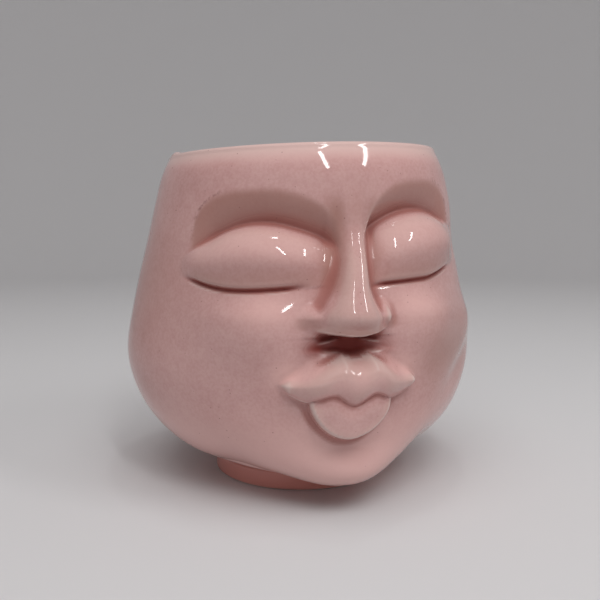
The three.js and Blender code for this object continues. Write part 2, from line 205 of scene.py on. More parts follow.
# Cheeks and chin
CHEEK_SWELL = 5.0
CHEEK_OUT = 24.0
RIGHT_CHEEK_SWELL = 1.5
RIGHT_CHEEK_OUT = 51.0
RIGHT_CHEEK_LOWER = 3.0
RIGHT_CHEEK_FOLD = 1.2
FOLD_OUT = 46.0
FOLD_LEVEL = 40.5
FOLD_SLOPE = 0.5
CHIN_SWELL = 4.4
CHIN_SHIFT = 2.5
CHIN_LEVEL = 11.1
CHIN_FOLD = 0.9
CHIN_FOLD_LEVEL = 22.6
JAW_HOLLOW = 3.6
JAW_OUT = 36.7
JAW_LEVEL = 14.0

# Foot ring
FOOT_WALL = 6.5
FOOT_ROUND = 1.0
FOOT_CORNER_ROWS = 7
FOOT_SIDE_ROWS = 5

# Glaze: share of red-brown at the foot, share of paler pink off the face, share of thin glaze on the rim,
# and the reaches in millimetres over which an edge and a whole form stand out
FOOT_RED_BROWN = 0.68
PALE_OFF_FACE = 0.8
RIM_BREAKING = 0.8
EDGE_REACH = 0.6
FORM_REACH = 2.6

# Grid of the glazed body; the face's rows lie closer where a level, a reach and an extra density say so
COLUMNS = 304
COLUMN_CROWDING = 0.6
UNDERSIDE_ROWS = 6
NECK_ROWS = 3
TUCK_ROWS = 60
TUCK_SHARE = 0.12
TUCK_CROWDING = 2.6
FACE_ROWS = 198
CLOSER_ROWS = [(38, 8, 1.3), (55, 5, 1.2), (70, 4, 0.8), (86, 6, 0.6)]
RIM_ROWS = 6
INNER_ROWS = 26
FLOOR_ROWS = 5
FOOT_COLUMNS = 180


def ease(x, start, end):
    """A smooth step from 0 at start to 1 at end."""
    share = np.clip((x - start) / (end - start), 0, 1)
    return share * share * (3 - 2 * share)


def bump(x, power=2):
    """A bell of height 1: e to the minus |x| to a power."""
    return np.exp(-np.abs(x) ** power)


def spot(across, up, width, height, powers=(2, 2)):
    """A bell in two directions: one across times one up, each with its own reach and power."""
    return bump(across / width, powers[0]) * bump(up / height, powers[1])


def softened(x, width):
    """The larger of x and 0 with its corner rounded: half the sum of x and a hyperbola of that width."""
    return (np.hypot(x, width) + x) / 2


def shoulder(share, fall, reach, power):
    """Fall along a superellipse's quarter: none where the share is 0, all of it at the reach."""
    return fall * (1 - (1 - np.clip(share / reach, 0, 1) ** power) ** (1 / power))


def mix(a, b, share):
    """A value that goes from a to b as the share goes from 0 to 1."""
    return a + (b - a) * share


def by_side(x, under, over):
    """One value where x is under 0, such as left of the face's middle, and another where it is over 0."""
    return np.where(x > 0, over, under)


# Vessel


def underside(phi):
    """Level where the vessel leaves the neck over the foot: low under the chin, higher under the jaw."""
    return FOOT_HIGH[2] + mix(NECK_CHIN, NECK_JAW, ease(np.abs(phi) * FACE_RADIUS, 2, JAW_TURN))


def half_size(z, low, foot, inset, rim_inset, full, level, rim, soft, tuck):
    """Half size at height z: a quarter of a superellipse from the foot to the fullest level, then a
    hyperbola's branch that leaves it level and tapers to the rim."""
    rise = np.clip((z - level) / (RIM - level), 0, 1.1)
    taper = (np.hypot(rise, soft) - soft) / (np.hypot(1, soft) - soft)
    fall = np.clip((level - z) / (level - low), 0, 1)
    tucked = mix(foot, full - inset, (1 - fall ** tuck) ** (1 / tuck))
    return np.where(z > level, mix(full - inset, rim - rim_inset, taper), tucked)


def vessel_radius(phi, z, low, foot, inset=0.0, rim_inset=0.0):
    """A superellipse at each height, with its own depth toward the front and the back, and a half width
    that is larger on the right over the eye."""
    in_front = np.cos(phi) > 0
    side = half_size(z, low, foot, inset, rim_inset, **SIDE)
    side = side + RIGHT_TEMPLE * ease(z, TEMPLE_START, TEMPLE_FULL) * (np.sin(phi) > 0)
    front = half_size(z, low, foot, inset, rim_inset, **FRONT)
    back = half_size(z, low, foot, inset, rim_inset, **BACK)
    depth = np.where(in_front, front, back)
    power = np.where(in_front, OVAL_FRONT, OVAL_BACK)
    across = np.abs(np.sin(phi)) / side
    along = np.abs(np.cos(phi)) / depth
    return (across ** power + along ** power) ** (-1 / power)


def rim_roll(phi, z):
    """How far the wall rolls in under the rim: a parabola in height, deepest in front."""
    rise = np.clip((z - ROLL_START) / (RIM - ROLL_START), 0, 1)
    return mix(ROLL_BACK, ROLL_FRONT, (1 + np.cos(phi)) / 2) * rise ** 2


def hand_wobble(phi, z):
    """Slight unevenness of a hand-made pot: a few long sine waves of about a tenth of a millimetre."""
    slow = np.sin(3 * phi + 0.05 * z + 0.4) + np.sin(5 * phi - 0.09 * z + 2.1)
    quick = np.sin(9 * phi + 0.21 * z + 1.3) + np.sin(7 * phi - 0.27 * z + 0.2)
    return 0.07 * slow + 0.03 * quick


def off_middle(phi, z):
    """Place along the face from its middle line, under 0 on the left. The line is drawn to the right by a
    bell: most at the bridge, less over the lip, least on the nose, a little to the left under the mouth,
    and not at all at the cheeks."""
    s = phi * FACE_RADIUS
    drawn = mix(SHIFT_UNDER_MOUTH, 1, ease(z, MOUTH - LOWER_LIP_HEIGHT, LIP_TOP))
    drawn = drawn - SHIFT_OFF_ON_NOSE * bump((z - TIP - 1) / 9)
    drawn = drawn + SHIFT_ADDED_AT_BRIDGE * ease(z, TIP + 6, CREASE - 2)
    return s - MIDDLE_SHIFT * drawn * bump(s / MIDDLE_REACH)


def from_middle(phi, z):
    """Distance along the face from its middle line."""
    return np.abs(off_middle(phi, z))


# Eyes: u along the eye, its share toward the nose, the level with the lean taken out, and three lines' levels
Eye = namedtuple("Eye", "u inward level lash crease brow")


def eye_lines(phi, z):
    """Lines of a closed eye at u, from -1 at the nose to 1 at the temple: the lash line is a power curve
    that sags on the left eye and is straighter on the right, the crease is a parabola, and the brow is an
    arc of two superellipses with a long outer shoulder."""
    u = (from_middle(phi, z) - EYE_MIDDLE) / EYE_HALF_LENGTH
    outward = np.clip(u, 0, 2)
    inward = np.clip(-u, 0, 2)
    lash = LASH + LASH_RISE * outward ** by_side(phi, *LASH_POWERS)
    lash = lash + by_side(phi, *LASH_INNER_RISES) * inward ** 2
    crease = CREASE + CREASE_LEAN * np.sin(phi) - by_side(phi, *CREASE_DROPS) * u ** 2
    brow = BROW - shoulder(outward, **BROW_OUTER) - shoulder(inward, **BROW_INNER)
    brow = np.maximum(brow, crease + BROW_OVER_CREASE)
    return Eye(u, inward, z - EYE_LEAN * np.sin(phi), lash, crease, brow)


def into_hollow(eye):
    """Share of the way from the brow down to the crease."""
    return np.clip((eye.brow - eye.level) / (eye.brow - eye.crease), 0, 1)


def down_lid(eye):
    """Share of the way from the crease down to the lash line, under 0 over the crease."""
    return (eye.crease - eye.level) / (eye.crease - eye.lash)


def socket_depth(eye):
    """Depth of the carved hollow along the eye: full in the inner half, gone at both ends."""
    ends = (1 - ease(eye.u, *SOCKET_OUTER_END)) * (1 - ease(eye.inward, *SOCKET_INNER_END))
    return SOCKET_DEPTH * ends * (1 - SOCKET_SHALLOWER * ease(eye.u, *SOCKET_SHALLOWING))


def lash_share(phi, eye):
    """Strength of the lash line along the eye: it fades toward the nose and tapers at the temple, and on
    the right eye it lies a little nearer to the nose."""
    nearer = by_side(phi, 0, RIGHT_LASH_NEARER)
    return (1 - ease(eye.u + nearer, *LASH_OUTER_END)) * (1 - ease(eye.inward - nearer, *LASH_INNER_END))


def eye_relief(phi, z):
    """Height of an eye over the vessel: a hollow that falls from the brow to the crease between an eased
    step and a parabola, a lid that climbs from the hollow's bottom to its edge and carries a parabola drawn
    toward the crease, and a narrow bell cut along the lash line."""
    eye = eye_lines(phi, z)
    depth = socket_depth(eye)
    swell = np.clip(1 - (eye.u / by_side(eye.u, *LID_HALF_LENGTHS)) ** 2, 0, 1) ** 1.2
    into = into_hollow(eye)
    hollow = -depth * mix(ease(into, 0, 1), into ** 2, HOLLOW_PARABOLA)
    down = np.clip(down_lid(eye), 0, 1)
    climb = (np.hypot(down, CREASE_SOFT) - CREASE_SOFT) / (math.hypot(1, CREASE_SOFT) - CREASE_SOFT)
    drawn_up = climb ** LID_DRAWN_UP
    base = mix(-depth, LID_EDGE * swell, 1 - (1 - np.minimum(climb / LID_CLIMB, 1)) ** 2)
    lid = base + LID_SWELL * swell * 4 * drawn_up * (1 - drawn_up)
    away = eye.level - eye.lash
    edge = LID_EDGE * swell * (1 - ease(-away, 0, LID_EDGE_ROUND))
    cut = LASH_DEPTH * lash_share(phi, eye) * bump(away / by_side(away, *LASH_CUT_REACHES))
    shape = np.where(eye.level > eye.crease, hollow, np.where(away > 0, lid, edge)) - cut
    return np.where(np.abs(eye.u) < EYE_REACH, shape, 0)


# Nose


def nose_edge(t):
    """Level of the nose's bottom edge, a parabola that rises toward the wings."""
    return NOSE_BASE + NOSE_EDGE_RISE * (t / NOSE_HALF_WIDTH) ** 2


def nostril(t, z):
    """A flat-topped bell for the pit on each side under the nose's bottom edge."""
    return spot(t - NOSTRIL_OUT, z - NOSE_BASE + 0.7, width=2.9, height=1.1, powers=(4, 2))


def nostril_sill(t, z):
    """A narrow ridge under each nostril: a bell along a line that drops toward the wing."""
    over = z - NOSE_BASE + 1.1 + SILL_DROP * t
    return spot(t - SILL_OUT, over, width=2.6, height=0.5, powers=(4, 2))


def lip_bow(t):
    """Level of the upper lip's bow: a small bell-shaped dip in the middle of its top edge."""
    return LIP_TOP - LIP_BOW * bump(t / LIP_BOW_REACH)


def lip_shade(t, z):
    """The recess between the nose and the upper lip: a flat-topped bell across, eased off at the lip's bow
    below and at the nose above."""
    over_bow = ease(z, lip_bow(t) - 0.2, lip_bow(t) + 1.2)
    under_nose = 1 - ease(z, NOSE_BASE - 1.4, NOSE_BASE - 0.2)
    return bump(t / RECESS_HALF_WIDTH, 3) * over_bow * under_nose


def nose_ridge(t, z):
    """A ridge that leaves the bridge as a hyperbola's branch and widens down to the tip, with a bell on it
    for the tip's ball."""
    held = TIP + softened(z - TIP, TIP_SOFT)
    down = np.clip((BROW - held) / (BROW - TIP), 0, 1)
    half_width = RIDGE_HALF_WIDTH + RIDGE_WIDENING * down ** 7
    height = NOSE_SLOPE * softened(BRIDGE - held, BRIDGE_SOFT) * (1 - ease(z, BRIDGE, BROW))
    ball = BALL_HEIGHT * spot(t, z - TIP, width=5.5, height=5.0)
    return height * bump(t / half_width, RIDGE_FLATNESS) + ball


def nose_wing(phi, t, z):
    """A blunt wing on each side of the tip and the groove that parts it from the ball: an eased step with a
    rounded corner that thins downward, the right one higher and rounder, and a bell for the groove."""
    wing = {part: by_side(phi, WING_LEFT[part], WING_RIGHT[part]) for part in WING_LEFT}
    over = np.clip(z - TIP + 1.2, 0, None) / wing["above"]
    beside = np.clip(t - wing["length"], 0, None) / wing["end"]
    height = wing["height"] * (1 - ease(np.hypot(over, beside), 0, 1))
    groove = wing["groove"] * spot(t - GROOVE_OUT, z - TIP, width=1.3, height=3.5)
    return height * (1 - WING_THINNED * ease(TIP - 0.8 - z, 0, 5)), groove


def nose_relief(phi, t, z):
    """The ridge and the wings joined by a cubic norm, turned under and cut off along the bottom edge, with
    the nostrils, the recess over the lip, the root between the brows and the valleys by the bridge taken
    away."""
    wing, groove = nose_wing(phi, t, z)
    turned_under = 1 - TURNED_UNDER * softened((TIP - 0.6 - z) / (TIP - NOSE_BASE), 0.25)
    body = ((nose_ridge(t, z) ** 3 + wing ** 3) ** (1 / 3) - groove) * turned_under
    under = 1.6 + 3.0 * ease(t, 8, 12)
    body = body * ease(z, nose_edge(t) - under, nose_edge(t) + 0.4)
    valley = bump((t - VALLEY_OUT) / 3.4) * ease(z, LASH - 3, LASH + 7) * (1 - ease(z, LASH + 6, LASH + 16))
    root = spot(t, z - BRIDGE + 4, width=12, height=9)
    pits = NOSTRIL_DEPTH * nostril(t, z) + RECESS_DEPTH * lip_shade(t, z)
    return body + SILL_HEIGHT * nostril_sill(t, z) - pits - VALLEY_DEPTH * valley - ROOT_DEPTH * root


# Lips, cheeks and chin


def mouth_line(t):
    """The bow between the lips: up from the middle, down to the lower lip's corners, up to the wings."""
    bow = MOUTH + BOW_RISE * ease(t, 0, BOW_OUT) - CORNER_DROP * ease(t, BOW_OUT, CORNER_OUT)
    return bow + WING_RISE * ease(t, WING_START, WING_OUT)


def upper_lip(t, z, line):
    """The upper lip swells from its top edge as a parabola to a power in the middle and an eased step on
    the wings, rolls under to the mouth line as a parabola and ends in blunt wings."""
    fall = LIP_FALL * np.clip(t - LIP_PEAK_OUT, 0, None) / LIP_FALL_LENGTH
    top = np.maximum(lip_bow(t) - fall, line + 0.4)
    down = (top - z) / (top - line)
    projection = UPPER_LIP_SWELL - SWELL_LESS_AT_PEAK * ease(t, 2, 8) - SWELL_LESS_AT_WING * ease(t, 7, 15)
    round_top = (1 - (1 - np.clip(down, 0, ROUND_TOP) / ROUND_TOP) ** 2) ** 0.75
    soft_top = ease(down, -0.3, 0.5)
    under = np.clip((down - ROLLED_UNDER) / (1 - ROLLED_UNDER), 0, 1)
    to_wing = ease(t, 5, 11)
    roll = mix(round_top, soft_top, mix(0.2, 1, to_wing)) * (1 - mix(0.4, 0.56, to_wing) * under ** 2)
    height = projection * roll * (1 - ease(t, *LIP_END))
    return np.where(down < 1, height, height * (1 - ease(line - z, 0, 1.4)))


def lower_lip(t, z, line):
    """The lower lip is a shallow dome inside a superellipse, with a crisp raised rim, that rises from the
    parting under the mouth line as the root of an eased step."""
    drop = np.clip(MOUTH + 1.5 - z, 0, None) / LOWER_LIP_HEIGHT
    out = (t / LOWER_LIP_HALF_WIDTH) ** LOWER_LIP_POWER + drop ** LOWER_LIP_POWER
    out = out ** (1 / LOWER_LIP_POWER)
    dome = LOWER_LIP_SWELL * (1 - LOWER_LIP_DOMED * out ** 2) + LOWER_LIP_RIM * bump((out - 0.95) / 0.04)
    parting = mix(PARTING_MIDDLE, PARTING_CORNER, ease(t, 5.0, 9.5))
    return mix(parting, dome, np.sqrt(ease(line - z, -0.6, 5.0))) * (1 - ease(out, 0.97, 1.16))


def lip_relief(t, z):
    """Both lips: the upper one over the mouth line, the higher of the two under it."""
    line = mouth_line(t)
    upper = upper_lip(t, z, line)
    return np.where(z > line, upper, np.maximum(upper, lower_lip(t, z, line)))


def cheek_relief(s, z):
    """The apple of each cheek, a bell that falls off faster toward the eye and the nose than toward the jaw,
    and the outer end of the right cheek, a bell with a fold under it along a line that drops to the mouth."""
    up = z - CHEEK
    out = np.abs(s) - CHEEK_OUT
    apple = CHEEK_SWELL * spot(out, up, width=by_side(out, 12, 15), height=by_side(up, 14, 8))
    up = up + RIGHT_CHEEK_LOWER
    end = RIGHT_CHEEK_SWELL * spot(s - RIGHT_CHEEK_OUT, up, width=13, height=by_side(up, 9, 6))
    over_fold = z - FOLD_LEVEL - FOLD_SLOPE * (s - FOLD_OUT)
    fold = RIGHT_CHEEK_FOLD * spot(s - FOLD_OUT, over_fold, width=11, height=5.6)
    return apple + end - fold


def chin_relief(phi, z):
    """A bell for the chin, a bell-shaped fold over it and a hollow on each side of the jaw."""
    s = phi * FACE_RADIUS
    knob = CHIN_SWELL * spot(s - CHIN_SHIFT, z - CHIN_LEVEL, width=13.3, height=7.0)
    fold = CHIN_FOLD * spot(s, z - CHIN_FOLD_LEVEL, width=12, height=3.4)
    jaw = JAW_HOLLOW * spot(np.abs(s) - JAW_OUT, z - JAW_LEVEL, width=14.5, height=11)
    return (knob - fold - jaw) * ease(z - underside(phi), 0, 2.5)


# Skins of the wall


def skin_radius(phi, z):
    """Radius of the glazed outer skin: the vessel with the face's relief, the chin and the wobble on it."""
    s = phi * FACE_RADIUS
    t = from_middle(phi, z)
    lips = lip_relief(t - RIGHT_WING_LONGER * ease(s, 8, 18), z)
    relief = eye_relief(phi, z) + nose_relief(phi, t, z) + lips + cheek_relief(s, z)
    relief = relief * (1 - ease(np.abs(s), FACE_END, FACE_END + FACE_FADE))
    vessel = vessel_radius(phi, z, underside(phi), FOOT_RADIUS) - rim_roll(phi, z)
    settled = ease(z - underside(phi), 0, 3)
    return vessel + relief + chin_relief(phi, z) + hand_wobble(phi, z) * settled


def standing_out(phi, z, reach):
    """How far the skin stands over the mean of eight places round it at a reach: over 0 on an edge, under 0
    in a crease."""
    mean = 0
    for turn in np.arange(8) * math.pi / 4:
        along = reach * math.cos(turn) / FACE_RADIUS
        mean = mean + skin_radius(phi + along, z + reach * math.sin(turn)) / 8
    return skin_radius(phi, z) - mean


def inner_low(phi):
    """Level where the inner skin meets the floor."""
    return FLOOR_TOP + underside(phi) - underside(0)


def inner_radius(phi, z):
    """Radius of the inner skin: the vessel set in by the wall, bulging inward behind the carved hollows."""
    eye = eye_lines(phi, z)
    under_crease = 1 - ease(eye.crease - eye.level, 0, eye.crease - eye.lash)
    carved = np.where(eye.level > eye.crease, ease(into_hollow(eye), 0, 1), under_crease)
    bulge = np.where(np.abs(eye.u) < EYE_REACH, socket_depth(eye) * carved, 0)
    return vessel_radius(phi, z, inner_low(phi), BORE_RADIUS, WALL, RIM_WALL) - 0.7 * bulge


# Marks of the glaze on the outer skin, each a share from 0 to 1


def pale_glaze_and_painted_light(phi, z, eye):
    """Paler pink toward the foot and the rim, and painted light: paler on the lit tops of the cheeks, on the
    upper lip and its wings, and high on the lids."""
    s = phi * FACE_RADIUS
    t = from_middle(phi, z)
    # painted light: the lit top of each cheek, the upper lip and its wings, and the lids' upper part
    cheek = spot(np.abs(s) - 20, z - CHEEK - 4, width=9, height=6)
    lip = spot(t, z - MOUTH - 8, width=13, height=5, powers=(4, 4))
    lip_wing = spot(t - 16, z - MOUTH - 8, width=4.5, height=4.5)
    lid = ease(down_lid(eye), 0.02, 0.2) * (1 - ease(down_lid(eye), 0.35, 0.7))
    lid = lid * (1 - ease(np.abs(eye.u), 0.7, 1.0))
    return np.maximum.reduce([
        0.8 * (1 - ease(z, 18, 38)),
        0.8 * ease(z, RIM - 8, RIM - 1),
        0.6 * cheek,
        0.6 * lip,
        0.8 * lip_wing,
        0.4 * lid,
    ])


def brown_glaze_and_painted_shade(phi, z, eye):
    """Brown: the glaze's own brown in the carved hollows, and painted shade low on the lids, beside the nose,
    at its root, under its tip and its wings, under the right cheek and on the left side."""
    s = phi * FACE_RADIUS
    t = from_middle(phi, z)
    hollow = ease(eye.brow - eye.level, -0.8, 2.4) * ease(eye.level - eye.crease, -1.5, 1.0)
    hollow = hollow * (1 - ease(eye.u, 0.92, 1.05)) * (1 - ease(eye.inward, 0.86, 1.08))
    # painted shade: the lids' lower half, which faces down
    lid = ease(down_lid(eye), 0.4, 0.9) * ease(eye.level - eye.lash, -0.2, 0.4)
    lid = lid * (1 - ease(np.abs(eye.u), 0.75, 1.05))
    # painted shade: the nose's flanks, its root, under its tip and wings, under the right cheek and on the
    # left side
    ridge = by_side(off_middle(phi, z), 0.95 * bump((t - 6) / 3), 0.65 * bump((t - 7.5) / 2.8))
    ridge = ridge * ease(z, TIP + 4, TIP + 10) * (1 - ease(z, CREASE, BROW))
    root = spot(t, z - CREASE - 1, width=10, height=7)
    tip = bump(t / 8, 4) * ease(TIP - z, 0.5, 3) * (z > NOSE_BASE)
    wing = bump((t - 10.6) / 3.4, 4) * ease(TIP - z, 0.4, 1.6) * (1 - ease(TIP - z, 3.2, 5.2))
    right_cheek_shade = spot(s - 40, z - MOUTH - 12, width=18, height=10, powers=(4, 2))
    left_side_shade = spot(s + 66, z - LASH, width=18, height=20)
    return np.maximum.reduce([
        by_side(phi, 0.88, 0.8) * hollow,
        0.5 * lid,
        ridge,
        0.35 * root,
        0.4 * tip,
        0.5 * wing,
        0.8 * right_cheek_shade,
        0.4 * left_side_shade,
    ])


def pooled_glaze_and_painted_shade(phi, z, eye, form):
    """Glaze pooled in hollows, where the form lies under its surroundings, less beside the lip's wings, and
    along the creases; and painted shade beside the recess over the lip."""
    t = from_middle(phi, z)
    over = eye.level - eye.crease - 0.4
    crease = bump(over / by_side(over, 0.8, 2.6)) * socket_depth(eye) / SOCKET_DEPTH
    by_lip_wing = ease(t, 7, 11) * bump((z - MOUTH - 8) / 9, 4)
    # painted shade beside the recess over the lip
    recess_shade = spot(t - 9.5, z - LIP_TOP - 0.7, width=2.8, height=2.6)
    sunk = ease(-form, 0.12, 1.1) * (1 - 0.85 * by_lip_wing)
    return np.maximum.reduce([sunk, 0.9 * crease, 0.75 * recess_shade])


def dark_red_glaze_and_painted_shade(phi, z, eye):
    """Dark red: glaze along the lash lines, and painted shade in the nostrils, in the recess over the lip and
    at its left corner, less on the nostrils' sills."""
    t = from_middle(phi, z)
    over = eye.level - eye.lash
    lashes = 0.85 * lash_share(phi, eye) * bump(over / by_side(over, *LASH_COLOUR_REACHES))
    # painted shade at the recess's lower left corner
    left_corner_shade = spot(phi * FACE_RADIUS + 8.5, z - LIP_TOP - 1.2, width=3, height=2.2)
    nose = np.clip(0.2 * nostril(t, z) + 0.9 * lip_shade(t, z) + 0.6 * left_corner_shade, 0, 1)
    return np.clip(lashes + nose * (1 - 0.8 * nostril_sill(t, z)), 0, 1)


def carved_line(eye):
    """The line scratched along the outer half of the brow: a bell across the brow's superellipse, widened
    by its slope so that it is as broad on the steep end as on the arch."""
    outward = np.clip(eye.u, 0, 1)
    power = BROW_OUTER["power"]
    steep = outward ** (power - 1) * (1.02 - outward ** power) ** -0.7
    across = bump((eye.level - eye.brow) / (0.35 * np.hypot(1, steep)))
    return across * ease(eye.u, 0.3, 0.7) * ease(1.02 - eye.u, 0, 0.04)


def skin_marks(phi, z, low):
    """All the marks of the outer skin by name, painted light and shade among them. Glaze breaks pale over
    edges and the rim, thins over forms and is red-brown at the neck."""
    eye = eye_lines(phi, z)
    edge = standing_out(phi, z, EDGE_REACH)
    form = standing_out(phi, z, FORM_REACH)
    over_neck = ease(z - low, 0.5, 4)
    return {
        "paling_and_painted_light": pale_glaze_and_painted_light(phi, z, eye),
        "brown_and_painted_shade": brown_glaze_and_painted_shade(phi, z, eye),
        "thinning": ease(form, 0.1, 0.9) * over_neck * (1 - 0.5 * ease(MOUTH - z, 0, 3)),
        "breaking": np.maximum(ease(edge, 0.05, 0.2) * over_neck, RIM_BREAKING * ease(z, RIM - 6, RIM - 1)),
        "pooling_and_painted_shade": pooled_glaze_and_painted_shade(phi, z, eye, form) * over_neck,
        "red_brown_low": FOOT_RED_BROWN * (1 - ease(z - low, 0.1, 0.8)),
        "carved_line": carved_line(eye),
        "dark_red_and_painted_shade": dark_red_glaze_and_painted_shade(phi, z, eye),
    }


# Meshes


def placed(phi, radius, z):
    """Points at an angle, radius and height, with the rim leaning as the cube of the height and a small drop
    of glaze standing on its left end, moved to the foot's axis and turned to metres."""
    share = np.clip((z - WALL_BOTTOM) / (RIM - WALL_BOTTOM), 0, 1)
    lean = (RIM_LEAN_SIDE * np.sin(phi) - RIM_LEAN_BACK * np.cos(phi)) * share ** 3
    bead = RIM_BEAD * bump((phi + 1.45) / 0.07) * share ** 40
    points = np.stack([radius * np.sin(phi), -radius * np.cos(phi), z + lean + bead], -1)
    points[..., :2] += FOOT_CENTRE[:2]
    return points * MM


def face_levels():
    """Shares of the height from the underside to the rim, one for each row: powers of even steps on the
    tuck, then steps spaced by a density with flat-topped bells at the mouth, nose, lashes and creases."""
    tuck = TUCK_SHARE * (np.arange(TUCK_ROWS) / TUCK_ROWS) ** TUCK_CROWDING
    share = np.linspace(TUCK_SHARE, 1, 2000)
    z = mix(underside(0), RIM - RIM_ROUND, share)
    density = 1 + sum(extra * bump((z - level) / reach, 4) for level, reach, extra in CLOSER_ROWS)
    total = np.cumsum(density)
    total = (total - total[0]) / (total[-1] - total[0])
    return np.concatenate([tuck, np.interp(np.linspace(0, 1, FACE_ROWS), total, share)])


def column_angles(count, crowding=0.0):
    """Angles round the vase, closer together on the face: even steps less a share of their sine."""
    turn = -math.pi + 2 * math.pi * np.arange(count) / count
    return turn - crowding * np.sin(turn)


def ring_faces(rows, columns):
    """Four-sided faces between neighbouring rings of points, each ring closed on itself."""
    first = np.arange(rows - 1)[:, None] * columns
    across = np.arange(columns)[None, :]
    after = (across + 1) % columns
    corners = [first + across, first + after, first + columns + after, first + columns + across]
    return np.stack(np.broadcast_arrays(*corners), -1).reshape(-1, 4)


def pole_faces(ring_start, columns, pole, upward):
    """Triangles from one ring of points to a single point in its middle."""
    across = ring_start + np.arange(columns)
    after = ring_start + (np.arange(columns) + 1) % columns
    order = (across, after) if upward else (after, across)
    return np.stack([*order, np.full(columns, pole)], -1)


def mesh_piece(name, points, faces, marks, material):
    """A smooth-shaded object at the origin with its points, faces, painted marks and material."""
    mesh = bpy.data.meshes.new(name)
    corners = [face for group in faces for face in group.tolist()]
    mesh.from_pydata(points.reshape(-1, 3).tolist(), [], corners)
    mesh.polygons.foreach_set("use_smooth", np.ones(len(mesh.polygons), bool))
    for mark, values in marks.items():
        layer = mesh.attributes.new(mark, "FLOAT", "POINT")
        layer.data.foreach_set("value", np.ascontiguousarray(values, np.float32).ravel())
    mesh.materials.append(material)
    mesh.update()
    piece = bpy.data.objects.new(name, mesh)
    bpy.context.scene.collection.objects.link(piece)
    return piece


def body_rings(phi):
    """Radius and height of the body's rings, part by part: a flat underside, the neck, the outer skin, a rim
    of two quarter circles, the inner skin and a floor dished as a cube."""
    even = np.ones_like(phi)
    low = underside(phi)
    rim_start = RIM - RIM_ROUND

    spread = (np.arange(1, UNDERSIDE_ROWS + 1) / UNDERSIDE_ROWS)[:, None] ** 0.5
    climb = (np.arange(1, NECK_ROWS + 1) / (NECK_ROWS + 1))[:, None]
    neck_z = mix(WALL_BOTTOM, low, climb)
    skin_z = mix(low, rim_start, face_levels()[:, None])

    turn = (math.pi / 2 * np.arange(1, RIM_ROWS + 1) / RIM_ROWS)[:, None]
    rim_z = (rim_start + RIM_ROUND * np.sin(turn)) * even
    rim_outer = skin_radius(phi, rim_start) - RIM_ROUND * (1 - np.cos(turn))
    rim_inner = inner_radius(phi, rim_start) + RIM_ROUND * (1 - np.cos(turn[::-1]))

    sink = 1 - np.cos(math.pi / 2 * np.arange(INNER_ROWS, -1, -1) / INNER_ROWS)[:, None]
    inner_z = mix(inner_low(phi), rim_start, sink)
    inward = (np.arange(FLOOR_ROWS, 0, -1) / (FLOOR_ROWS + 1))[:, None] * even
    return {
        "underside": (FOOT_RADIUS * spread * even, WALL_BOTTOM * np.ones_like(spread) * even),
        "neck": (FOOT_RADIUS * np.ones_like(neck_z), neck_z),
        "skin": (skin_radius(phi, skin_z), skin_z),
        "rim": (np.concatenate([rim_outer, rim_inner]), np.concatenate([rim_z, rim_z[::-1]])),
        "inside": (inner_radius(phi, inner_z), inner_z),
        "floor": (BORE_RADIUS * inward, mix(FLOOR_TOP, inner_low(phi), inward ** 3)),
    }


def over_rings(rings, **values):
    """A mark over all the body's points: each part's value or array, 0 on a part that has none, and on the
    two middle points what the ring beside them has."""
    mark = np.concatenate([np.broadcast_to(values.get(part, 0.0), rings[part][1].shape) for part in rings])
    return np.append(mark.ravel(), [mark[0, 0], mark[-1, 0]])


def body_marks(phi, rings):
    """The skin's marks carried over the whole body, plain pale glaze off the face, and bare clay under it."""
    plain = dict.fromkeys(rings, PALE_OFF_FACE)
    off_face = {
        "paling_and_painted_light": plain,
        "breaking": {"rim": RIM_BREAKING},
        "red_brown_low": {"underside": FOOT_RED_BROWN, "neck": FOOT_RED_BROWN},
    }
    marks = {}
    for name, values in skin_marks(phi, rings["skin"][1], underside(phi)).items():
        marks[name] = over_rings(rings, **{**off_face.get(name, {}), "skin": values})
    bare = np.arange(UNDERSIDE_ROWS) < UNDERSIDE_ROWS - 1
    marks["bare"] = over_rings(rings, underside=bare[:, None])
    return marks


def glazed_body(material):
    """The vase over its foot as one closed skin of rings, with a point at the middle of the underside and of
    the floor."""
    phi = column_angles(COLUMNS, COLUMN_CROWDING)[None, :]
    rings = body_rings(phi)
    radius = np.concatenate([part[0] for part in rings.values()])
    height = np.concatenate([part[1] for part in rings.values()])
    rows = len(radius)
    axis = np.zeros(1)
    points = np.concatenate([
        placed(phi, radius, height).reshape(-1, 3),
        placed(axis, axis, axis + WALL_BOTTOM),
        placed(axis, axis, axis + FLOOR_TOP),
    ])
    faces = [
        ring_faces(rows, COLUMNS),
        pole_faces(0, COLUMNS, rows * COLUMNS, upward=False),
        pole_faces((rows - 1) * COLUMNS, COLUMNS, rows * COLUMNS + 1, upward=True),
    ]
    return mesh_piece("glazed_body", points, faces, body_marks(phi, rings), material)


